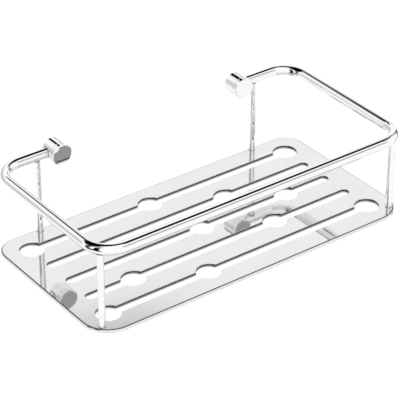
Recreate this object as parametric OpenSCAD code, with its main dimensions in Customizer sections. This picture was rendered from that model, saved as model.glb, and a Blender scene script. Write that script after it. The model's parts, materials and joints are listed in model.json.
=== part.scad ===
// Wall-mounted shower shelf: a slotted plate on four posts under a bent rail,
// held by two round wall sleeves with pull-off cover caps.
// X is the width, -Y points out of the wall, +Z is up.
// The origin is on the wall plane, midway between the two wall sleeves, on their axes.

/* [Shelf plate] */
// Width of the shelf plate
plate_w = 280; // [270:1:340]
// Depth of the shelf plate, front edge to rear edge
plate_d = 142; // [136:1:170]
// Thickness of the shelf plate
plate_t = 3; // [2.5:0.5:4]
// Gap between the plate's rear edge and the wall
plate_wall_gap = 2; // [1:0.5:2]
// Radius of the plate's front corners
plate_front_corner_r = 22; // [12:1:24]
// Radius of the plate's rear corners
plate_rear_corner_r = 16.5; // [8:0.5:20]

/* [Drain pattern] */
// Distance between neighbouring drain slots
slot_pitch = 25; // [22:0.5:26]
// Width of a drain slot
slot_w = 8; // [4:0.5:10]
// Solid plate left beyond the plain end of a slot
slot_end_margin = 18.5; // [12:0.5:24]
// Diameter of the round drain holes
drain_d = 19; // [12:0.5:20]
// Solid plate from the side edge to the centre of an end hole
end_hole_margin = 21; // [18:0.5:26]

/* [Rail] */
// Diameter of the rail
rail_d = 8; // [7:0.5:8]
// Height from the top of the plate to the rail's axis
rail_height = 64.6; // [40:0.1:90]
// How far the rail's outer side stands inside the plate's side edge
rail_side_inset = 0.5; // [0:0.1:2]
// How far the rail's front stands out past the plate's front edge
rail_front_overhang = 1.8; // [0:0.1:3]
// Bend radius of the rail's axis
rail_bend_r = 20; // [16:1:24]
// Distance from the wall to the axis of the rail's rear stubs
rail_wall_distance = 4.6; // [4.5:0.1:5]

/* [Posts] */
// Diameter of the four posts
post_d = 5; // [4.5:0.5:6]
// Place of the front posts around the rail's front bends, from the side run
front_post_angle = 37; // [20:1:60]
// Distance from the shelf's centre line to each rear post
rear_post_x = 100; // [98:1:106]

/* [Wall sleeves and caps] */
// Distance between the axes of the two wall sleeves
sleeve_spacing = 168; // [120:1:174]
// Outer diameter of the sleeves and caps
sleeve_d = 16.8; // [16:0.2:18]
// Length of a sleeve, wall to cap
sleeve_len = 10.9; // [10.5:0.1:14]
// Thickness of a cap in front of its sleeve
cap_t = 3.8; // [2.5:0.1:5]
// Bore of a sleeve, which takes the screw head and the cap's plug
sleeve_bore_d = 9; // [8.6:0.1:9]
// Diameter of the wall screw hole
wall_hole_d = 4.5; // [3.5:0.1:5]

/* [Fasteners and seals] */
// Thread diameter of the screws that hold the posts
screw_d = 2; // [1.6:0.1:2]
// Length of those screws
screw_len = 8; // [6:1:10]
// Thickness of the rubber ring on a cap's plug
ring_t = 1.4; // [1.2:0.1:1.5]

/* [Hidden] */
$fn = 96;

LEFT = -1;
RIGHT = 1;

// gap left in every soldered, threaded or seated joint
joint_gap = 0.05;
// how far a cutting shape runs past the face it opens
cut = 1;

rail_r = rail_d / 2;
sleeve_r = sleeve_d / 2;
bore_r = sleeve_bore_d / 2;

plate_top_z = -rail_height;
plate_rear_y = -plate_wall_gap;
plate_front_y = plate_rear_y - plate_d;
plate_mid_y = (plate_front_y + plate_rear_y) / 2;

rail_side_x = plate_w / 2 - rail_side_inset - rail_r;
rail_front_y = plate_front_y - rail_front_overhang + rail_r;
rail_rear_y = -rail_wall_distance;

sleeve_x = sleeve_spacing / 2;
// solid floor under the wall screw's head
sleeve_floor_t = 3;
// wall left between the rail's socket and the sleeve's bore
socket_web_t = 0.8;
socket_bottom = bore_r + socket_web_t;

front_post_x = rail_side_x - rail_bend_r + rail_bend_r * cos(front_post_angle);
front_post_y = rail_front_y + rail_bend_r - rail_bend_r * sin(front_post_angle);

// turned spigot on top of each post, which enters the rail
spigot_d = 3;
spigot_len = 3.2;
spigot_hole_len = 3.5;
// threaded hole left past the end of the screw
tap_runout = 1;

// countersunk head: widest at the plate's underside, 90 degree cone
screw_head_d = 3.8;
screw_head_len = (screw_head_d - screw_d) / 2;
screw_clearance = 0.1;
hex_socket_d = 1.5;
hex_socket_len = 0.7;

edge_chamfer = 0.4;
cap_face_chamfer = 0.6;
seam_chamfer = 0.25;
plug_len = 3.5;
plug_clearance = 0.08;
ring_groove_w = ring_t + 0.3;

// Drain slots, from the one nearest the wall to the front one.
// The first value says whether the slot ends in round holes, the second lists the holes
// between its ends as distances from the centre line.
drain_rows = [
    [true, [-12.5]],
    [false, [41]],
    [false, [0, 80.5]],
    [false, [-80, 50]],
    [true, [-31]]
];

/* ---- shared shapes ---- */

// a solid of revolution about an axis that points out of the wall; profile is [radius, distance from wall]
module turned(x, profile) {
    translate([x, 0, 0])
        rotate([90, 0, 0])
            rotate_extrude()
                polygon(profile);
}

module rod_along_x(x_from, x_to, y, r) {
    translate([min(x_from, x_to), y, 0])
        rotate([0, 90, 0])
            cylinder(h = abs(x_to - x_from), r = r);
}

module rod_along_y(x, y_from, y_to, r) {
    translate([x, max(y_from, y_to), 0])
        rotate([90, 0, 0])
            cylinder(h = abs(y_to - y_from), r = r);
}

// a quarter bend of the rail, swept from start_angle
module rail_bend(x, y, start_angle, r) {
    translate([x, y, 0])
        rotate([0, 0, start_angle])
            rotate_extrude(angle = 90)
                translate([rail_bend_r, 0])
                    circle(r = r);
}

module front_bend(side, r) {
    start_angle = side == RIGHT ? -90 : 180;
    rail_bend(side * (rail_side_x - rail_bend_r), rail_front_y + rail_bend_r, start_angle, r);
}

module rear_bend(side, r) {
    start_angle = side == RIGHT ? 0 : 90;
    rail_bend(side * (rail_side_x - rail_bend_r), rail_rear_y - rail_bend_r, start_angle, r);
}

module side_run(side, r) {
    rod_along_y(side * rail_side_x, rail_front_y + rail_bend_r, rail_rear_y - rail_bend_r, r);
}

module rear_stub(side, r) {
    stub_end = sleeve_x + socket_bottom + joint_gap;
    rod_along_x(side * stub_end, side * (rail_side_x - rail_bend_r), rail_rear_y, r);
}

/* ---- shelf plate ---- */

module plate_outline() {
    for (side = [LEFT, RIGHT]) {
        translate([side * (plate_w / 2 - plate_front_corner_r), plate_front_y + plate_front_corner_r])
            circle(r = plate_front_corner_r);
        translate([side * (plate_w / 2 - plate_rear_corner_r), plate_rear_y - plate_rear_corner_r])
            circle(r = plate_rear_corner_r);
    }
    translate([-plate_w / 2, plate_front_y + plate_front_corner_r])
        square([plate_w, plate_d - plate_front_corner_r - plate_rear_corner_r]);
    translate([-plate_w / 2 + plate_front_corner_r, plate_front_y])
        square([plate_w - 2 * plate_front_corner_r, plate_front_corner_r + cut]);
    translate([-plate_w / 2 + plate_rear_corner_r, plate_rear_y - plate_rear_corner_r - cut])
        square([plate_w - 2 * plate_rear_corner_r, plate_rear_corner_r + cut]);
}

// one straight slot along X with round ends, half_len measured to the tips
module slot_outline(half_len) {
    straight = half_len - slot_w / 2;
    translate([-straight, -slot_w / 2])
        square([2 * straight, slot_w]);
    for (side = [LEFT, RIGHT])
        translate([side * straight, 0])
            circle(d = slot_w);
}

module drain_outline() {
    end_hole_x = plate_w / 2 - end_hole_margin;
    for (row = [0 : len(drain_rows) - 1]) {
        ends_in_holes = drain_rows[row][0];
        row_y = plate_mid_y + ((len(drain_rows) - 1) / 2 - row) * slot_pitch;
        translate([0, row_y]) {
            slot_outline(ends_in_holes ? end_hole_x : plate_w / 2 - slot_end_margin);
            for (x = drain_rows[row][1])
                translate([x, 0])
                    circle(d = drain_d);
            if (ends_in_holes)
                for (side = [LEFT, RIGHT])
                    translate([side * end_hole_x, 0])
                        circle(d = drain_d);
        }
    }
}

module screw_clearance_hole(x, y) {
    hole_r = screw_d / 2 + screw_clearance;
    head_r = screw_head_d / 2 + screw_clearance;
    translate([x, y, plate_top_z - plate_t - cut])
        cylinder(h = plate_t + 2 * cut, r = hole_r);
    translate([x, y, plate_top_z - plate_t])
        cylinder(h = head_r - hole_r, r1 = head_r, r2 = hole_r);
}

module shelf_plate() {
    color([0.86, 0.87, 0.88])
        difference() {
            translate([0, 0, plate_top_z - plate_t])
                linear_extrude(plate_t)
                    difference() {
                        plate_outline();
                        drain_outline();
                    }
            for (side = [LEFT, RIGHT]) {
                screw_clearance_hole(side * front_post_x, front_post_y);
                screw_clearance_hole(side * rear_post_x, rail_rear_y);
            }
        }
}

/* ---- rail ---- */

module spigot_hole(x, y) {
    translate([x, y, -rail_r - cut])
        cylinder(h = spigot_hole_len + cut, d = spigot_d + 2 * joint_gap);
}

module top_rail() {
    color([0.93, 0.93, 0.94])
        difference() {
            union() {
                rod_along_x(-rail_side_x + rail_bend_r, rail_side_x - rail_bend_r, rail_front_y, rail_r);
                for (side = [LEFT, RIGHT]) {
                    front_bend(side, rail_r);
                    side_run(side, rail_r);
                    rear_bend(side, rail_r);
                    rear_stub(side, rail_r);
                }
            }
            for (side = [LEFT, RIGHT]) {
                spigot_hole(side * front_post_x, front_post_y);
                spigot_hole(side * rear_post_x, rail_rear_y);
            }
        }
}

/* ---- posts ---- */

// a post stands on the plate, is coped to the rail by the child shape, and ends in a spigot
module post(x, y) {
    color([0.9, 0.9, 0.91])
        difference() {
            union() {
                difference() {
                    translate([x, y, plate_top_z])
                        cylinder(h = rail_height - rail_r / 2, d = post_d);
                    children();
                }
                translate([x, y, -rail_r - cut])
                    cylinder(h = spigot_len + cut, d = spigot_d);
            }
            translate([x, y, plate_top_z - cut])
                cylinder(h = screw_len - plate_t + tap_runout + cut, d = screw_d + 2 * joint_gap);
        }
}

module front_post(side) {
    post(side * front_post_x, front_post_y)
        front_bend(side, rail_r + joint_gap);
}

module rear_post(side) {
    post(side * rear_post_x, rail_rear_y)
        rear_stub(side, rail_r + joint_gap);
}

/* ---- wall sleeves, caps and rings ---- */

module wall_sleeve(side) {
    color([0.92, 0.92, 0.93])
        difference() {
            turned(side * sleeve_x, [
                [wall_hole_d / 2, 0],
                [sleeve_r - edge_chamfer, 0],
                [sleeve_r, edge_chamfer],
                [sleeve_r, sleeve_len - seam_chamfer],
                [sleeve_r - seam_chamfer, sleeve_len],
                [bore_r, sleeve_len],
                [bore_r, sleeve_floor_t],
                [wall_hole_d / 2, sleeve_floor_t]
            ]);
            rod_along_x(side * (sleeve_x + socket_bottom), side * (sleeve_x + sleeve_r + cut),
                        rail_rear_y, rail_r + joint_gap);
        }
}

// the cap's profile runs from the plug's end, past the ring groove, to the polished face
module cover_cap(side) {
    plug_r = bore_r - plug_clearance;
    groove_r = bore_r - ring_t - 2 * joint_gap;
    back = sleeve_len + joint_gap;
    face = sleeve_len + cap_t;
    groove_mid = sleeve_len - plug_len / 2;
    color([0.84, 0.84, 0.85])
        turned(side * sleeve_x, [
            [0, sleeve_len - plug_len],
            [plug_r - seam_chamfer, sleeve_len - plug_len],
            [plug_r, sleeve_len - plug_len + seam_chamfer],
            [plug_r, groove_mid - ring_groove_w / 2],
            [groove_r, groove_mid - ring_groove_w / 2],
            [groove_r, groove_mid + ring_groove_w / 2],
            [plug_r, groove_mid + ring_groove_w / 2],
            [plug_r, back],
            [sleeve_r - seam_chamfer, back],
            [sleeve_r, back + seam_chamfer],
            [sleeve_r, face - cap_face_chamfer],
            [sleeve_r - cap_face_chamfer, face],
            [0, face]
        ]);
}

module cap_ring(side) {
    color([0.12, 0.12, 0.12])
        translate([side * sleeve_x, -sleeve_len + plug_len / 2, 0])
            rotate([90, 0, 0])
                rotate_extrude()
                    translate([bore_r - joint_gap - ring_t / 2, 0])
                        circle(d = ring_t, $fn = 32);
}

/* ---- plate screws ---- */

module plate_screw(x, y) {
    head_z = plate_top_z - plate_t;
    color([0.72, 0.73, 0.75])
        difference() {
            union() {
                translate([x, y, head_z])
                    cylinder(h = screw_head_len, d1 = screw_head_d, d2 = screw_d);
                translate([x, y, head_z])
                    cylinder(h = screw_len, d = screw_d);
            }
            translate([x, y, head_z - cut])
                cylinder(h = hex_socket_len + cut, d = hex_socket_d, $fn = 6);
        }
}

shelf_plate();
top_rail();
front_post(LEFT);  // front_left_post
front_post(RIGHT);  // front_right_post
rear_post(LEFT);  // rear_left_post
rear_post(RIGHT);  // rear_right_post
wall_sleeve(LEFT);  // left_wall_sleeve
wall_sleeve(RIGHT);  // right_wall_sleeve
cover_cap(LEFT);  // left_cover_cap
cover_cap(RIGHT);  // right_cover_cap
cap_ring(LEFT);  // left_cap_ring
cap_ring(RIGHT);  // right_cap_ring
plate_screw(-front_post_x, front_post_y);  // front_left_screw
plate_screw(front_post_x, front_post_y);  // front_right_screw
plate_screw(-rear_post_x, rail_rear_y);  // rear_left_screw
plate_screw(rear_post_x, rail_rear_y);  // rear_right_screw
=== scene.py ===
"""Wall-mounted shower shelf in polished steel: slotted plate, bent rail, posts, wall sleeves and caps.

Lengths are in metres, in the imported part's own frame: X is the width, -Y points into the room, +Z is up.
"""

import bpy
from math import atan2, cos, pi, radians, sin, sqrt
from mathutils import Matrix, Vector
from mathutils.geometry import delaunay_2d_cdt
from mathutils.kdtree import KDTree
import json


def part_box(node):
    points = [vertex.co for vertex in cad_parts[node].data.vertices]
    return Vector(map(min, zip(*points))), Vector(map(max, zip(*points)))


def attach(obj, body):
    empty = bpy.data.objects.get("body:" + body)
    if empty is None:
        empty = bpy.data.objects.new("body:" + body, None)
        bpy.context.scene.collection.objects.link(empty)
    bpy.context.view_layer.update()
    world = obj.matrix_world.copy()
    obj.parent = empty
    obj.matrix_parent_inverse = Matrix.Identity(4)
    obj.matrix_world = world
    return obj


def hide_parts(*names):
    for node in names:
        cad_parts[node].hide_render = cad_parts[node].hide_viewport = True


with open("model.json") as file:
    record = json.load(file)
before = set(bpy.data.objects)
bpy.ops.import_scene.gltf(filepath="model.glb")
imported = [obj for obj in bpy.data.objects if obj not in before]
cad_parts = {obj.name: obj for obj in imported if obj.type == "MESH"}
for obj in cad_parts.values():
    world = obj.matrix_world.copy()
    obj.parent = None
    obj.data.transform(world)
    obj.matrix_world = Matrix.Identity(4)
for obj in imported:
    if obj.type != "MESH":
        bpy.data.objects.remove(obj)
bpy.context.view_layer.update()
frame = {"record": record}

MM = 0.001
ACROSS = Vector((1, 0, 0))
UP = Vector((0, 0, 1))
OUT_OF_WALL = Vector((0, -1, 0))
LEFT, RIGHT = -1, 1
SIDE_NAMES = {LEFT: "left", RIGHT: "right"}

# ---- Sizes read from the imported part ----

plate_low, plate_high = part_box("shelf_plate")
rail_low, rail_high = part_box("top_rail")
sleeve_low, sleeve_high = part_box("right_wall_sleeve")
cap_low, cap_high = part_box("right_cover_cap")
ring_low, ring_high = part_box("right_cap_ring")

plate_top = plate_high.z
plate_bottom = plate_low.z
plate_mid_y = (plate_low.y + plate_high.y) / 2
rail_r = (rail_high.z - rail_low.z) / 2
rail_side_x = rail_high.x - rail_r
rail_front_y = rail_low.y + rail_r
rail_rear_y = rail_high.y - rail_r
sleeve_x = (sleeve_low.x + sleeve_high.x) / 2
sleeve_r = (sleeve_high.z - sleeve_low.z) / 2
sleeve_len = sleeve_high.y - sleeve_low.y
cap_face = sleeve_high.y - cap_low.y
plug_end = sleeve_high.y - cap_high.y
cap_ring_r = (ring_high.y - ring_low.y) / 2
cap_ring_centre_r = (ring_high.z - ring_low.z) / 2 - cap_ring_r
cap_ring_depth = sleeve_high.y - (ring_low.y + ring_high.y) / 2

# ---- Sizes that repeat the part's own design values ----

RAIL_BEND_R = 20 * MM
FRONT_CORNER_R = 22 * MM
REAR_CORNER_R = 16.5 * MM
SLOT_W = 8 * MM
SLOT_PITCH = 25 * MM
PLAIN_SLOT_END = 121.5 * MM
END_HOLE_X = 119 * MM
DRAIN_R = 9.5 * MM
# Slots from the wall to the front: whether the slot ends in holes, and the holes between its ends.
DRAIN_ROWS = [
    (True, [-12.5]),
    (False, [41]),
    (False, [0, 80.5]),
    (False, [-80, 50]),
    (True, [-31]),
]
BORE_R = 4.5 * MM
SLEEVE_FLOOR = 3 * MM
JOINT_GAP = 0.05 * MM
SOCKET_BOTTOM = 5.35 * MM
GROOVE_R = 3 * MM
GROOVE_W = 1.7 * MM
PLUG_R = 4.42 * MM
SCREW_HOLE_R = 1.1 * MM
COUNTERSINK_R = 2 * MM
HEX_SOCKET_APOTHEM = 0.65 * MM
HEX_SOCKET_DEPTH = 0.7 * MM
SCREW_R = 1 * MM
SCREW_HEAD_R = 1.9 * MM
POST_NODES = ["front_left_post", "front_right_post", "rear_left_post", "rear_right_post"]
SCREW_NODES = ["front_left_screw", "front_right_screw", "rear_left_screw", "rear_right_screw"]

# ---- Finishing sizes that only the visual model has ----

# Edge roundings at the plate's top and underside; the underside's stays clear of the countersunk holes.
PLATE_EDGE_RADII = (1 * MM, 0.4 * MM)
SLOT_EDGE_RADII = (0.3 * MM, 0.3 * MM)
SLOT_CORNER_R = 0.6 * MM
TOP_BRAZE = 0.7 * MM
FOOT_BRAZE = 0.35 * MM
SOCKET_BRAZE = 0.5 * MM
FLAT_GRID = 6 * MM
ARC_STEP = radians(5)
FILLET_STEPS = 5
QUARTER_TURN = [pi / 2 * i / FILLET_STEPS for i in range(FILLET_STEPS + 1)]
TUBE_SIDES = 64
TURNED_SIDES = 96
SMALL_SIDES = 48
SEAL_SECTION_SIDES = 24


# ---- Studio ----

FLOOR_HALF_WIDTH = 1.5
FLOOR_DEPTH = 1.2
FLOOR_GREY = 0.93
FLOOR_ROUGHNESS = 0.9
# The camera's place and lens, rounded from a fit of the view to the object's outline in the photo.
VIEW_AZIMUTH = radians(-36.49)
VIEW_ELEVATION = radians(32.07)
VIEW_DISTANCE = 1467.6 * MM
VIEW_SHIFT_LEFT = 1.7 * MM
VIEW_SHIFT_UP = 20.3 * MM
SENSOR_WIDTH_MM = 36
LENS_MM = 176.2
CLIP_END = 50
STUDIO_LIGHT = 1.1
# Dark flags round the shelf, with angles in degrees:
# (azimuth from +X, elevation), (half width, half height), softness of the edge, darkness from 0 to 1.
STUDIO_FLAGS = [
    # Long strip overhead, parallel to the wall: the dark line along the front rail and its bends.
    ((90, 66), (46, 18), 3, 1),
    # Short arm at its right end: a darker front rail line, and dark tops on the rear stubs.
    ((8, 59), (9, 9), 3, 1),
    # Two tall stands beyond the left end: faint lines on the posts.
    ((-166, 8), (9, 35), 3, 1),
    ((163, 8), (8, 35), 3, 0.9),
    # Low block between them: dark spots on the front left bend.
    ((-173, -14), (22, 12), 4, 1),
    # Tall stand beyond the right end: dark spots on the bends and faint streaks on the posts.
    ((16, -20), (8, 58), 4, 0.8),
    # Screen high on the left: a faint line along the side rails.
    ((145, 64), (32, 9), 6, 0.7),
    # Screen behind the camera: the left cap's face, both caps in the plate, the rear posts' lines.
    ((-58, 36), (16, 10), 5, 0.6),
    # Two bars behind the right end: lines along the side rails; the first also greys the plate.
    ((70, 43), (13, 6), 2, 1),
    ((44, 17), (9, 4), 2, 0.7),
    # Grey wall behind the shelf: the soft edges of the side rails.
    ((105, 6), (34, 20), 8, 0.4),
]


# ---- Mesh building ----

class Skin:
    """Points with their true surface normals, and the faces between them."""

    def __init__(self):
        self.points = []
        self.normals = []
        self.faces = []
        self.slots = []

    def ring(self, pairs):
        """Adds (point, normal) pairs and returns their indices."""
        first = len(self.points)
        for point, normal in pairs:
            self.points.append(Vector(point))
            self.normals.append(Vector(normal).normalized())
        return list(range(first, len(self.points)))

    def faces_out(self, corners):
        """Whether the corners run the way round that the normals at them call for."""
        a, b, c = (self.points[i] for i in corners[:3])
        wanted = sum((self.normals[i] for i in corners), Vector())
        return (b - a).cross(c - a).dot(wanted) >= 0

    def face(self, corners, slot=0):
        """Adds a face, turned so that it faces the way its normals do."""
        self.faces.append(corners if self.faces_out(corners) else corners[::-1])
        self.slots.append(slot)

    def bridge(self, a, b, slot=0):
        """Quads between two closed rings of the same length."""
        for i in range(len(a)):
            j = (i + 1) % len(a)
            self.face([a[i], a[j], b[j], b[i]], slot)

    def bridge_all(self, rings):
        for a, b in zip(rings, rings[1:]):
            self.bridge(a, b)

    def bridge_section(self, rings):
        """Quads round a closed section, all turned the same way as the first one."""
        quads = []
        for a, b in zip(rings, rings[1:] + rings[:1]):
            for i in range(len(a)):
                quads.append([a[i - 1], a[i], b[i], b[i - 1]])
        if not self.faces_out(quads[0]):
            quads = [quad[::-1] for quad in quads]
        self.faces += quads
        self.slots += [0] * len(quads)

    def fan(self, ring, point, normal):
        """Triangles from a closed ring to one point."""
        centre = self.ring([(point, normal)])[0]
        for i in range(len(ring)):
            self.face([ring[i], ring[(i + 1) % len(ring)], centre])

    def build(self, name):
        mesh = bpy.data.meshes.new(name)
        mesh.from_pydata(self.points, [], self.faces)
        mesh.polygons.foreach_set("material_index", self.slots)
        mesh.polygons.foreach_set("use_smooth", [True] * len(self.faces))
        mesh.normals_split_custom_set_from_vertices(self.normals)
        return link(name, mesh)


def link(name, data):
    obj = bpy.data.objects.new(name, data)
    bpy.context.scene.collection.objects.link(obj)
    return obj


def around(sides):
    """The angles of a full turn in equal steps."""
    return [2 * pi * i / sides for i in range(sides)]


def spun_ring(origin, axis, point, normal, sides, outline=None):
    """A ring about an axis, as (point, normal) pairs.

    The point is (radius, height along the axis) and the normal is (outward, along the axis).
    """
    other = axis.cross(ACROSS)
    pairs = []
    for angle in around(sides):
        spoke = ACROSS * cos(angle) + other * sin(angle)
        radius = point[0] if outline is None else outline(angle, point[0])
        place = origin + spoke * radius + axis * point[1]
        pairs.append((place, spoke * normal[0] + axis * normal[1]))
    return pairs


def edge_normal(a, b):
    """The outward normal of a profile's edge; the solid lies on the left of the way the profile runs."""
    along = (Vector(b[:2]) - Vector(a[:2])).normalized()
    return Vector((along.y, -along.x))


def rounded_profile(corners):
    """(point, normal) pairs round a closed profile of (radius, height, rounding) corners."""
    pairs = []
    for i, corner in enumerate(corners):
        before = edge_normal(corners[i - 1], corner)
        after = edge_normal(corner, corners[(i + 1) % len(corners)])
        bulge = 1 if before.cross(after) > 0 else -1
        centre = Vector(corner[:2]) - (before + after) * (bulge * corner[2] / (1 + before.dot(after)))
        for step in range(FILLET_STEPS + 1):
            normal = before.slerp(after, step / FILLET_STEPS)
            pairs.append((centre + normal * bulge * corner[2], normal))
    return pairs


def spin(name, origin, axis, corners, sides=TURNED_SIDES):
    """A solid of revolution from a profile that starts and ends on the axis, or stays clear of it."""
    skin = Skin()
    solid = corners[0][0] == 0
    pairs = rounded_profile(corners)
    if solid:
        pairs = pairs[FILLET_STEPS + 1:-FILLET_STEPS - 1]
    rings = [skin.ring(spun_ring(origin, axis, point, normal, sides)) for point, normal in pairs]
    skin.bridge_all(rings)
    if solid:
        skin.fan(rings[0], origin + axis * corners[0][1], axis * pairs[0][1].y)
        skin.fan(rings[-1], origin + axis * corners[-1][1], axis * pairs[-1][1].y)
    else:
        skin.bridge(rings[-1], rings[0])
    return skin.build(name)


# ---- Outlines in the plane: closed lists of (point, outward normal of the solid) ----

def arc(centre, radius, start, end, facing=1):
    """An arc from start to end, in radians; facing is -1 where the solid lies outside the circle."""
    steps = max(2, round(abs(end - start) / ARC_STEP))
    pairs = []
    for i in range(steps + 1):
        angle = start + (end - start) * i / steps
        direction = Vector((cos(angle), sin(angle)))
        pairs.append((Vector(centre) + direction * radius, direction * facing))
    return pairs


def subdivided(pairs, longest):
    """The same closed loop, with points added along its straight stretches."""
    same_way = 1e-6
    result = []
    for i, (point, normal) in enumerate(pairs):
        result.append((point, normal))
        next_point, next_normal = pairs[(i + 1) % len(pairs)]
        length = (next_point - point).length
        if (next_normal - normal).length < same_way and length > longest:
            pieces = round(length / longest) + 1
            result += [(point.lerp(next_point, k / pieces), normal) for k in range(1, pieces)]
    return result


def plate_outline():
    half_w = (plate_high.x - plate_low.x) / 2
    corners = [
        (RIGHT, plate_low.y + FRONT_CORNER_R, FRONT_CORNER_R, -pi / 2),
        (RIGHT, plate_high.y - REAR_CORNER_R, REAR_CORNER_R, 0),
        (LEFT, plate_high.y - REAR_CORNER_R, REAR_CORNER_R, pi / 2),
        (LEFT, plate_low.y + FRONT_CORNER_R, FRONT_CORNER_R, pi),
    ]
    pairs = []
    for side, centre_y, radius, start in corners:
        pairs += arc((side * (half_w - radius), centre_y), radius, start, start + pi / 2)
    return pairs


def drain_outline(row_y, ends_in_holes, holes):
    """One slot with its round holes; the sharp corners where they meet are rounded by SLOT_CORNER_R."""
    half_w = SLOT_W / 2
    corner_y = half_w + SLOT_CORNER_R
    corner_dx = sqrt((DRAIN_R + SLOT_CORNER_R) ** 2 - corner_y ** 2)
    meet = atan2(corner_y, corner_dx)

    def right_corner(x):
        return arc((x + corner_dx, corner_y), SLOT_CORNER_R, -pi / 2, meet - pi)

    def left_corner(x):
        return arc((x - corner_dx, corner_y), SLOT_CORNER_R, -meet, -pi / 2)

    if ends_in_holes:
        upper = arc((END_HOLE_X, 0), DRAIN_R, 0, pi - meet, facing=-1) + left_corner(END_HOLE_X)[1:]
    else:
        upper = arc((PLAIN_SLOT_END - half_w, 0), half_w, 0, pi / 2, facing=-1)
    for x in sorted((hole * MM for hole in holes), reverse=True):
        upper += right_corner(x)
        upper += arc((x, 0), DRAIN_R, meet, pi - meet, facing=-1)[1:]
        upper += left_corner(x)[1:]
    if ends_in_holes:
        upper += right_corner(-END_HOLE_X) + arc((-END_HOLE_X, 0), DRAIN_R, meet, pi, facing=-1)[1:]
    else:
        upper += arc((half_w - PLAIN_SLOT_END, 0), half_w, pi / 2, pi, facing=-1)
    flip = Vector((1, -1))
    lower = [(point * flip, normal * flip) for point, normal in reversed(upper[1:-1])]
    shift = Vector((0, row_y))
    return [(point + shift, normal) for point, normal in upper + lower]


# ---- Plate ----

# The plate's material slots, in order.
# The second slot is the slot walls' steel with painted shade; the third is the painted dark line along the
# top arris.
POLISHED, CUT_PAINTED_SHADE, PAINTED_ARRIS = range(3)


def edge_rings(skin, outline, edge_radii, wall_slot, painted_arris_steps=0):
    """The rounded edge and wall along one outline; returns the top and bottom rings of the flat faces.

    The first steps of the top rounding can carry a painted dark line, a painted reflection along the edge.
    """
    rings = []
    ends = ((1, plate_top, QUARTER_TURN), (-1, plate_bottom, QUARTER_TURN[::-1]))
    for edge_r, (side, level, turns) in zip(edge_radii, ends):
        for turn in turns:
            inset = edge_r * (1 - sin(turn))
            z = level - side * edge_r * (1 - cos(turn))
            pairs = []
            for point, normal in outline:
                flat = point - normal * inset
                pairs.append(((flat.x, flat.y, z), (normal * sin(turn)).to_3d() + UP * (side * cos(turn))))
            rings.append(skin.ring(pairs))
    for i in range(len(rings) - 1):
        slot = wall_slot if i == FILLET_STEPS else POLISHED
        skin.bridge(rings[i], rings[i + 1], PAINTED_ARRIS if i < painted_arris_steps else slot)
    return rings[0], rings[-1]


def screw_hole(skin, node):
    """A countersunk hole up through the plate; returns its top and bottom rings."""
    rim = 0.1 * MM
    profile = [
        ((SCREW_HOLE_R, plate_top), (0, 1)),
        ((SCREW_HOLE_R, plate_bottom + COUNTERSINK_R - SCREW_HOLE_R), (-1, 0)),
        ((COUNTERSINK_R, plate_bottom), (-1, -1)),
        ((COUNTERSINK_R + rim, plate_bottom), (0, -1)),
    ]
    origin = middle_of(node)
    rings = [skin.ring(spun_ring(origin, UP, point, normal, SMALL_SIDES)) for point, normal in profile]
    skin.bridge_all(rings)
    return rings[0], rings[-1]


def inner_grid(flat):
    """Points spread over the plate's box, none of them near a ring point."""
    tree = KDTree(len(flat))
    for i, point in enumerate(flat):
        tree.insert(point.to_3d(), i)
    tree.balance()
    size = plate_high - plate_low
    columns = round(size.x / FLAT_GRID)
    rows = round(size.y / FLAT_GRID)
    clearance = 0.6 * FLAT_GRID
    points = []
    for i in range(1, columns):
        for j in range(1, rows):
            point = Vector((plate_low.x + size.x * i / columns, plate_low.y + size.y * j / rows))
            if tree.find(point.to_3d())[2] > clearance:
                points.append(point)
    return points


def joined_faces(faces, walls, start_edge):
    """The faces that can be reached from one edge without crossing a wall."""
    beside = {}
    for face in faces:
        for i, j in zip(face, face[1:] + face[:1]):
            beside.setdefault(frozenset((i, j)), []).append(face)
    waiting = list(beside[start_edge])
    reached = {frozenset(face) for face in waiting}
    kept = list(waiting)
    while waiting:
        face = waiting.pop()
        for i, j in zip(face, face[1:] + face[:1]):
            edge = frozenset((i, j))
            for neighbour in [] if edge in walls else beside[edge]:
                if frozenset(neighbour) not in reached:
                    reached.add(frozenset(neighbour))
                    waiting.append(neighbour)
                    kept.append(neighbour)
    return kept


def fill_flat(skin, rings, facing):
    """One flat face of the plate between the given rings, in even triangles; the outer ring is first."""
    indices = [i for ring in rings for i in ring]
    level = skin.points[indices[0]].z
    flat = [skin.points[i].to_2d() for i in indices]
    edges = []
    first = 0
    for ring in rings:
        edges += [(first + i, first + (i + 1) % len(ring)) for i in range(len(ring))]
        first += len(ring)
    inside_outline = 1
    merge_distance = 1e-7
    points, _, faces, origins, _, _ = delaunay_2d_cdt(
        flat + inner_grid(flat), edges, [], inside_outline, merge_distance)
    renumbered = {origin[0]: i for i, origin in enumerate(origins)}
    walls = {frozenset((renumbered[i], renumbered[j])) for i, j in edges}
    vertex = {i: indices[origin[0]] for i, origin in enumerate(origins) if origin[0] < len(indices)}
    start = frozenset((renumbered[0], renumbered[1]))
    for corners in joined_faces([list(face) for face in faces], walls, start):
        for i in corners:
            if i not in vertex:
                vertex[i] = skin.ring([(points[i].to_3d() + UP * level, UP * facing)])[0]
        skin.face([vertex[i] for i in corners])


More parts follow.
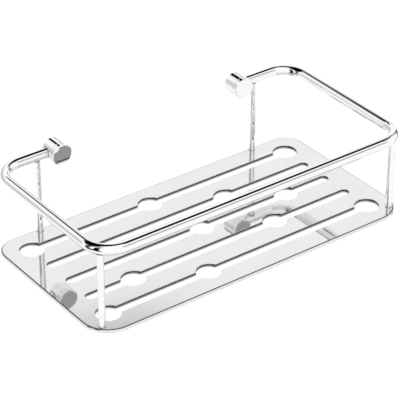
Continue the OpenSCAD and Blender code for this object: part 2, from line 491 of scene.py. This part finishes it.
def build_plate():
    skin = Skin()
    outline = subdivided(plate_outline(), FLAT_GRID)
    # The first three steps of the top rounding carry the painted dark reflection line.
    rings = [edge_rings(skin, outline, PLATE_EDGE_RADII, POLISHED, painted_arris_steps=3)]
    for row, (ends_in_holes, holes) in enumerate(DRAIN_ROWS):
        row_y = plate_mid_y + (len(DRAIN_ROWS) // 2 - row) * SLOT_PITCH
        outline = subdivided(drain_outline(row_y, ends_in_holes, holes), FLAT_GRID)
        rings.append(edge_rings(skin, outline, SLOT_EDGE_RADII, CUT_PAINTED_SHADE))
    rings += [screw_hole(skin, node) for node in POST_NODES]
    fill_flat(skin, [top for top, _ in rings], 1)
    fill_flat(skin, [bottom for _, bottom in rings], -1)
    return skin.build("polished_plate")


# ---- Rail ----

def rail_path():
    """The rail's axis from one sleeve, round the front, to the other sleeve, with its sideways normals."""
    bend_x = rail_side_x - RAIL_BEND_R
    half = [(Vector((sleeve_x + SOCKET_BOTTOM, rail_rear_y)), Vector((0, 1)))]
    half += arc((bend_x, rail_rear_y - RAIL_BEND_R), RAIL_BEND_R, pi / 2, 0)
    half += arc((bend_x, rail_front_y + RAIL_BEND_R), RAIL_BEND_R, 0, -pi / 2)
    flip = Vector((-1, 1))
    pairs = half + [(point * flip, normal * flip) for point, normal in reversed(half)]
    path = []
    for (point, normal), (following, _) in zip(pairs, pairs[1:]):
        pieces = max(1, round((following - point).length / FLAT_GRID))
        path += [(point.lerp(following, k / pieces), normal) for k in range(pieces)]
    return path + [pairs[-1]]


def build_rail():
    skin = Skin()
    rings = []
    path = rail_path()
    for point, sideways in path:
        pairs = []
        for angle in around(TUBE_SIDES):
            normal = (sideways * cos(angle)).to_3d() + UP * sin(angle)
            pairs.append((point.to_3d() + normal * rail_r, normal))
        rings.append(skin.ring(pairs))
    skin.bridge_all(rings)
    skin.fan(rings[0], path[0][0].to_3d(), -ACROSS)
    skin.fan(rings[-1], path[-1][0].to_3d(), ACROSS)
    return skin.build("bent_rail")


def rail_underside(place):
    """The height of the rail's lower surface above or below a place, on its front bends and rear stubs."""
    bend_x = rail_side_x - RAIL_BEND_R
    bend_y = rail_front_y + RAIL_BEND_R
    if place.y < bend_y:
        off_axis = Vector((abs(place.x) - bend_x, place.y - bend_y)).length - RAIL_BEND_R
    else:
        off_axis = place.y - rail_rear_y
    return -sqrt(max(0, rail_r ** 2 - off_axis ** 2))


# ---- Posts and their brazed joints ----

def middle_of(node):
    """The middle of a node's box, brought down to the frame's zero height."""
    low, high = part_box(node)
    return Vector(((low.x + high.x) / 2, (low.y + high.y) / 2, 0))


def radius_of(node):
    low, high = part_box(node)
    return (high.x - low.x) / 2


def build_post(node):
    """A round post, its top cut to the rail's curve and its foot sunk below the plate's rounded edge."""
    foot = middle_of(node)
    foot_z = plate_top - PLATE_EDGE_RADII[0]
    radius = radius_of(node)
    levels = 8
    seat = 0.2 * MM
    skin = Skin()
    rings = []
    for level in range(levels + 1):
        pairs = spun_ring(foot, UP, (radius, foot_z), (1, 0), TUBE_SIDES)
        for place, _ in pairs:
            place.z += (rail_underside(place) + seat - foot_z) * level / levels
        rings.append(skin.ring(pairs))
    skin.bridge_all(rings)
    skin.fan(rings[0], foot + UP * foot_z, -UP)
    skin.fan(rings[-1], foot + UP * (rail_underside(foot) + seat), UP)
    return skin.build(node.replace("post", "upright"))


def quarter_fillet(size):
    """A hollow quarter round of braze: (reach past the surface it hugs, rise off the other one, normal).

    The last point is the corner where the two surfaces meet, which closes the ring inside the joint.
    """
    buried = 0.02 * MM
    curve = []
    for turn in QUARTER_TURN:
        curve.append((size * (1 - sin(turn)), size * (1 - cos(turn)), (sin(turn), cos(turn))))
    return curve + [(-buried, -buried, (-1, -1))]


def build_top_braze(node):
    """The thin fillet between a post and the rail, along the curve where they meet."""
    foot = middle_of(node)
    skin = Skin()
    rings = []
    for reach, drop, normal in quarter_fillet(TOP_BRAZE):
        pairs = spun_ring(foot, UP, (radius_of(node) + reach, 0), (normal[0], -normal[1]), TUBE_SIDES)
        for place, _ in pairs:
            place.z = rail_underside(place) - drop
        rings.append(skin.ring(pairs))
    skin.bridge_section(rings)
    return skin.build(node.replace("post", "top_braze"))


def build_foot_braze(node):
    """The thin fillet round the foot of a post."""
    skin = Skin()
    rings = []
    for reach, rise, normal in quarter_fillet(FOOT_BRAZE):
        point = (radius_of(node) + reach, plate_top + rise)
        rings.append(skin.ring(spun_ring(middle_of(node), UP, point, normal, TUBE_SIDES)))
    skin.bridge_section(rings)
    return skin.build(node.replace("post", "foot_braze"))


def build_socket_braze(side):
    """The thin fillet where the rail enters a sleeve, along the sleeve's curve."""
    skin = Skin()
    rings = []
    axis = ACROSS * side
    for reach, rise, normal in quarter_fillet(SOCKET_BRAZE):
        pairs = []
        for angle in around(TUBE_SIDES):
            spoke = OUT_OF_WALL * cos(angle) + UP * sin(angle)
            place = spoke * (rail_r + reach)
            place.y += rail_rear_y
            place.x = side * (sleeve_x + sqrt(sleeve_r ** 2 - place.z ** 2) + rise)
            pairs.append((place, spoke * normal[0] + axis * normal[1]))
        rings.append(skin.ring(pairs))
    skin.bridge_section(rings)
    return skin.build(f"{SIDE_NAMES[side]}_socket_braze")


# ---- Wall sleeves, caps and rings ----

def build_cap(side):
    """A turned cap: plug with a ring groove, thin flange and flat face with a polished chamfer."""
    back = sleeve_len + JOINT_GAP
    middle = cap_ring_depth
    chamfer = 0.6 * MM
    edge = 0.25 * MM
    fine = 0.08 * MM
    corners = [
        (0, plug_end, 0),
        (PLUG_R, plug_end, edge),
        (PLUG_R, middle - GROOVE_W / 2, fine),
        (GROOVE_R, middle - GROOVE_W / 2, fine),
        (GROOVE_R, middle + GROOVE_W / 2, fine),
        (PLUG_R, middle + GROOVE_W / 2, fine),
        (PLUG_R, back, fine),
        (sleeve_r, back, edge),
        (sleeve_r, cap_face - chamfer, fine),
        (sleeve_r - chamfer, cap_face, fine),
        (0, cap_face, 0),
    ]
    return spin(f"{SIDE_NAMES[side]}_turned_cap", ACROSS * side * sleeve_x, OUT_OF_WALL, corners)


def build_sleeve(side):
    """A turned sleeve: a bore for the cap's plug and, through its floor, a hole for the wall screw."""
    wall_hole_r = frame["record"]["mounts"][0]["dims"]["hole_r_mm"] * MM
    hole_edge = 0.15 * MM
    back_edge = 0.4 * MM
    edge = 0.3 * MM
    corners = [
        (wall_hole_r, 0, hole_edge),
        (sleeve_r, 0, back_edge),
        (sleeve_r, sleeve_len, edge),
        (BORE_R, sleeve_len, edge),
        (BORE_R, SLEEVE_FLOOR, edge),
        (wall_hole_r, SLEEVE_FLOOR, hole_edge),
    ]
    return spin(f"{SIDE_NAMES[side]}_turned_sleeve", ACROSS * side * sleeve_x, OUT_OF_WALL, corners)


def build_cap_ring(side):
    """The round-section rubber ring in a cap's groove."""
    origin = ACROSS * side * sleeve_x
    skin = Skin()
    rings = []
    for angle in around(SEAL_SECTION_SIDES):
        normal = (cos(angle), sin(angle))
        point = (cap_ring_centre_r + cap_ring_r * normal[0], cap_ring_depth + cap_ring_r * normal[1])
        rings.append(skin.ring(spun_ring(origin, OUT_OF_WALL, point, normal, TURNED_SIDES)))
    skin.bridge_all(rings)
    skin.bridge(rings[-1], rings[0])
    return skin.build(f"{SIDE_NAMES[side]}_sealing_ring")


# ---- Screws ----

def hexagon(angle, apothem):
    """The radius of a hexagon with that apothem, in the given direction."""
    return apothem / cos((angle % (pi / 3)) - pi / 6)


def build_screw(node):
    """A countersunk screw with a hexagon socket, seen from below; its head is flush with the plate."""
    low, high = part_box(node)
    origin = middle_of(node) + UP * low.z
    length = high.z - low.z
    cone = SCREW_HEAD_R - SCREW_R
    fine = 0.1 * MM
    flat = 3 * fine
    tip = 4 * fine
    outer = [
        ((HEX_SOCKET_APOTHEM + flat, 0), (0, -1)),
        ((SCREW_HEAD_R - fine, 0), (0, -1)),
        ((SCREW_HEAD_R - fine / 2, fine / 2), (1, 0)),
        ((SCREW_R, cone), (1, 0)),
        ((SCREW_R, length - tip), (1, 0)),
        ((SCREW_R - tip, length), (0, 1)),
    ]
    socket = [
        ((HEX_SOCKET_APOTHEM + fine, 0), (0, -1)),
        ((HEX_SOCKET_APOTHEM, fine), (-1, 0)),
        ((HEX_SOCKET_APOTHEM, HEX_SOCKET_DEPTH - fine), (-1, 0)),
        ((HEX_SOCKET_APOTHEM - fine, HEX_SOCKET_DEPTH), (0, -1)),
    ]
    skin = Skin()
    rings = [skin.ring(spun_ring(origin, UP, point, normal, SMALL_SIDES, hexagon))
             for point, normal in reversed(socket)]
    skin.fan(rings[0], origin + UP * HEX_SOCKET_DEPTH, -UP)
    rings += [skin.ring(spun_ring(origin, UP, point, normal, SMALL_SIDES)) for point, normal in outer]
    skin.bridge_all(rings)
    skin.fan(rings[-1], origin + UP * length, UP)
    return skin.build(node.replace("screw", "socket_screw"))


# ---- Materials ----

def new_material(name, **settings):
    """A principled material; settings are sockets named with underscores, held at one value."""
    material = bpy.data.materials.new(name)
    material.use_nodes = True
    shader = material.node_tree.nodes["Principled BSDF"]
    for socket, value in settings.items():
        shader.inputs[socket.replace("_", " ")].default_value = value
    return material, material.node_tree, shader


def grey(value):
    return (value, value, value, 1)


def add_node(tree, kind, **settings):
    node = tree.nodes.new(kind)
    for name, value in settings.items():
        if hasattr(node, name):
            setattr(node, name, value)
        else:
            node.inputs[name.replace("_", " ")].default_value = value
    return node


def ramp(tree, source, stops):
    """Greys that follow a source; stops are (position, grey value)."""
    node = tree.nodes.new("ShaderNodeValToRGB")
    elements = node.color_ramp.elements
    for element, (position, value) in zip(elements, (stops[0], stops[-1])):
        element.position = position
        element.color = grey(value)
    for position, value in stops[1:-1]:
        elements.new(position).color = grey(value)
    tree.links.new(source, node.inputs["Fac"])
    return node.outputs["Color"]


def object_place(tree):
    return tree.nodes.new("ShaderNodeTexCoord").outputs["Object"]


def squeezed(tree, place, scale):
    """The same coordinates scaled, so that a pattern in them stretches the other way."""
    node = add_node(tree, "ShaderNodeMapping")
    node.inputs["Scale"].default_value = scale
    tree.links.new(place, node.inputs["Vector"])
    return node.outputs["Vector"]


def noise(tree, place, scale, detail, roughness=0.6):
    node = add_node(tree, "ShaderNodeTexNoise", Scale=scale, Detail=detail, Roughness=roughness)
    tree.links.new(place, node.inputs["Vector"])
    return node.outputs["Fac"]


def add_bump(tree, shader, height, strength, distance):
    node = add_node(tree, "ShaderNodeBump", Strength=strength, Distance=distance)
    tree.links.new(height, node.inputs["Height"])
    tree.links.new(node.outputs["Normal"], shader.inputs["Normal"])


def spread(low, high, start=0.3, end=0.7):
    """Ramp stops from low to high over the part of the range that a noise mostly fills."""
    return [(start, low), (end, high)]


def polished(name, tint, roughness, waviness):
    """Mirror polish with faint haze patches, fine polishing marks and a slightly wavy surface."""
    material, tree, shader = new_material(name, Metallic=1)
    place = object_place(tree)
    haze = noise(tree, place, scale=38, detail=4, roughness=0.55)
    marks = noise(tree, place, scale=900, detail=3)
    wave = noise(tree, place, scale=55, detail=2, roughness=0.4)
    haze_tints = spread(tint, tint * 0.965, start=0.35)
    marks_roughness = spread(*roughness, start=0.35, end=0.75)
    tree.links.new(ramp(tree, haze, haze_tints), shader.inputs["Base Color"])
    tree.links.new(ramp(tree, marks, marks_roughness), shader.inputs["Roughness"])
    add_bump(tree, shader, wave, waviness, 0.1 * MM)
    return material


def cut_edge_painted_shade():
    """The drain slots' walls: painted shade dark high up and a painted pale band low down, with fine
    upright drag lines.
    """
    material, tree, shader = new_material("cut_edge_painted_shade", Metallic=1)
    place = object_place(tree)
    drag = noise(tree, squeezed(tree, place, (1, 1, 0.08)), scale=2600, detail=3)
    split = tree.nodes.new("ShaderNodeSeparateXYZ")
    tree.links.new(place, split.inputs["Vector"])
    height = add_node(tree, "ShaderNodeMapRange", From_Min=plate_bottom, From_Max=plate_top)
    tree.links.new(split.outputs["Z"], height.inputs["Value"])
    # Painted light and shade: a pale band low on the wall and dark above it, in place of the light and
    # shade inside the slots.
    painted_shade_up_the_wall = [(0, 0.3), (0.3, 0.55), (0.5, 0.12), (0.7, 0.03), (1, 0.05)]
    tint = add_node(tree, "ShaderNodeMix", data_type="RGBA", blend_type="MULTIPLY")
    tint.inputs["Factor"].default_value = 1
    tree.links.new(ramp(tree, height.outputs["Result"], painted_shade_up_the_wall), tint.inputs["A"])
    tree.links.new(ramp(tree, drag, spread(0.75, 1)), tint.inputs["B"])
    tree.links.new(tint.outputs["Result"], shader.inputs["Base Color"])
    tree.links.new(ramp(tree, drag, spread(0.36, 0.5)), shader.inputs["Roughness"])
    add_bump(tree, shader, drag, 0.3, 0.02 * MM)
    return material


def grained(name, scale, tints, roughness, detail=3, **settings):
    """A material whose tint and roughness follow one fine noise; also returns what its bump needs."""
    material, tree, shader = new_material(name, **settings)
    grain = noise(tree, object_place(tree), scale, detail)
    tree.links.new(ramp(tree, grain, spread(*tints)), shader.inputs["Base Color"])
    tree.links.new(ramp(tree, grain, spread(*roughness)), shader.inputs["Roughness"])
    return material, (tree, shader, grain)


def painted_dark_arris():
    """The plate's top arris: painted dark as a painted reflection line, satin steel with fine marks."""
    # Painted reflection: the dark tint stands in for the dark line the rounded edge reflects.
    material, surface = grained("painted_dark_arris", 700, (0.1, 0.18), (0.3, 0.45), Metallic=1)
    add_bump(*surface, 0.2, 0.02 * MM)
    return material


def seal_rubber():
    """Smooth black rubber with a faint moulding texture."""
    material, surface = grained("seal_rubber", 1800, (0.012, 0.03), (0.42, 0.6), detail=4)
    add_bump(*surface, 0.25, 0.05 * MM)
    return material


def turned_steel():
    """Plain stainless steel with a fine grain, for the screws."""
    material, _ = grained("turned_steel", 3000, (0.5, 0.62), (0.2, 0.34), Metallic=1)
    return material


# ---- The object ----

def add_piece(obj, body, materials, replaces=()):
    """Gives a finished piece its materials, its body and the CAD nodes it stands for."""
    for material in materials:
        obj.data.materials.append(material)
    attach(obj, body)
    if replaces:
        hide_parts(*replaces)
    return obj


def build_object():
    plate_polish = polished("plate_polish", tint=0.77, roughness=(0.03, 0.06), waviness=0.012)
    rod_polish = polished("rod_polish", tint=0.89, roughness=(0.01, 0.03), waviness=0.006)
    cap_polish = polished("cap_polish", tint=0.87, roughness=(0.02, 0.04), waviness=0.008)
    braze = polished("braze_polish", tint=0.3, roughness=(0.15, 0.3), waviness=0.1)
    rubber = seal_rubber()
    screw_steel = turned_steel()
    plate_materials = [plate_polish, cut_edge_painted_shade(), painted_dark_arris()]
    add_piece(build_plate(), "shelf", plate_materials, ["shelf_plate"])
    add_piece(build_rail(), "shelf", [rod_polish], ["top_rail"])
    for node in POST_NODES:
        add_piece(build_post(node), "shelf", [rod_polish], [node])
        add_piece(build_top_braze(node), "shelf", [braze])
        add_piece(build_foot_braze(node), "shelf", [braze])
    for node in SCREW_NODES:
        add_piece(build_screw(node), "shelf", [screw_steel], [node])
    for side, word in SIDE_NAMES.items():
        cap_body = f"{word}_cap"
        add_piece(build_sleeve(side), "shelf", [rod_polish], [f"{word}_wall_sleeve"])
        add_piece(build_socket_braze(side), "shelf", [braze])
        add_piece(build_cap(side), cap_body, [cap_polish], [f"{word}_cover_cap"])
        add_piece(build_cap_ring(side), cap_body, [rubber], [f"{word}_cap_ring"])


# ---- Studio ----

def build_floor():
    """A plain pale floor, far enough down that views from below still see the shelf."""
    half = FLOOR_HALF_WIDTH
    skin = Skin()
    corners = [(-half, -half), (half, -half), (half, half), (-half, half)]
    skin.face(skin.ring([((x, y, -FLOOR_DEPTH), UP) for x, y in corners]))
    floor = skin.build("studio_floor")
    material, _, _ = new_material("floor_paint", Roughness=FLOOR_ROUGHNESS, Base_Color=grey(FLOOR_GREY))
    floor.data.materials.append(material)


def calculate(tree, operation, *values):
    """A Math node fed by sockets and plain numbers; returns its output."""
    node = add_node(tree, "ShaderNodeMath", operation=operation)
    for socket, value in zip(node.inputs, values):
        if isinstance(value, bpy.types.NodeSocket):
            tree.links.new(value, socket)
        else:
            socket.default_value = value
    return node.outputs[0]


def along_axis(tree, direction, axis):
    """How far a direction points along an axis."""
    node = add_node(tree, "ShaderNodeVectorMath", operation="DOT_PRODUCT")
    tree.links.new(direction, node.inputs[0])
    node.inputs[1].default_value = axis
    return node.outputs["Value"]


def soft_window(tree, angle, half_size, softness):
    """1 while the angle is within half_size of zero, fading to 0 over the softness around that."""
    node = add_node(tree, "ShaderNodeMapRange", interpolation_type="SMOOTHSTEP")
    tree.links.new(calculate(tree, "ABSOLUTE", angle), node.inputs["Value"])
    node.inputs["From Min"].default_value = half_size - softness
    node.inputs["From Max"].default_value = half_size + softness
    node.inputs["To Min"].default_value = 1
    node.inputs["To Max"].default_value = 0
    return node.outputs["Result"]


def flag_shade(tree, direction, place, half_size, softness, darkness):
    """The part of the light that one soft-edged flag takes away in a direction; angles are in degrees."""
    azimuth, elevation = (radians(angle) for angle in place)
    ahead = Vector((cos(azimuth) * cos(elevation), sin(azimuth) * cos(elevation), sin(elevation)))
    sideways = Vector((-sin(azimuth), cos(azimuth), 0))
    forward = along_axis(tree, direction, ahead)
    shade = darkness
    for axis, half in ((sideways, half_size[0]), (ahead.cross(sideways), half_size[1])):
        angle = calculate(tree, "ARCTAN2", along_axis(tree, direction, axis), forward)
        window = soft_window(tree, angle, radians(half), radians(softness))
        shade = calculate(tree, "MULTIPLY", shade, window)
    return shade


def build_world():
    """A white surround with the flags in it; only mirror reflections see them, so the light stays even."""
    world = bpy.data.worlds.new("studio")
    bpy.context.scene.world = world
    world.use_nodes = True
    tree = world.node_tree
    direction = tree.nodes.new("ShaderNodeTexCoord").outputs["Generated"]
    reflected = tree.nodes.new("ShaderNodeLightPath").outputs["Is Glossy Ray"]
    light = STUDIO_LIGHT
    for place, half_size, softness, darkness in STUDIO_FLAGS:
        shade = flag_shade(tree, direction, place, half_size, softness, darkness)
        kept = calculate(tree, "SUBTRACT", 1, calculate(tree, "MULTIPLY", shade, reflected))
        light = calculate(tree, "MULTIPLY", light, kept)
    background = tree.nodes["Background"]
    background.inputs["Color"].default_value = grey(1)
    tree.links.new(light, background.inputs["Strength"])


def build_camera():
    """The photographed view: a long lens, to the left of straight on and above the shelf."""
    data = bpy.data.cameras.new("view")
    camera = link("view", data)
    sideways = Vector((sin(VIEW_AZIMUTH), -cos(VIEW_AZIMUTH), 0))
    back = sideways * cos(VIEW_ELEVATION) + UP * sin(VIEW_ELEVATION)
    right = Vector((cos(VIEW_AZIMUTH), sin(VIEW_AZIMUTH), 0))
    above = back.cross(right)
    target = Vector((0, plate_mid_y, plate_top))
    camera.location = target + back * VIEW_DISTANCE - right * VIEW_SHIFT_LEFT + above * VIEW_SHIFT_UP
    camera.rotation_mode = "QUATERNION"
    camera.rotation_quaternion = Matrix((right, above, back)).transposed().to_quaternion()
    data.sensor_width = SENSOR_WIDTH_MM
    data.lens = LENS_MM
    data.clip_end = CLIP_END
    bpy.context.scene.camera = camera


build_camera()
build_object()
build_floor()
build_world()
bpy.context.scene.view_settings.view_transform = "Standard"
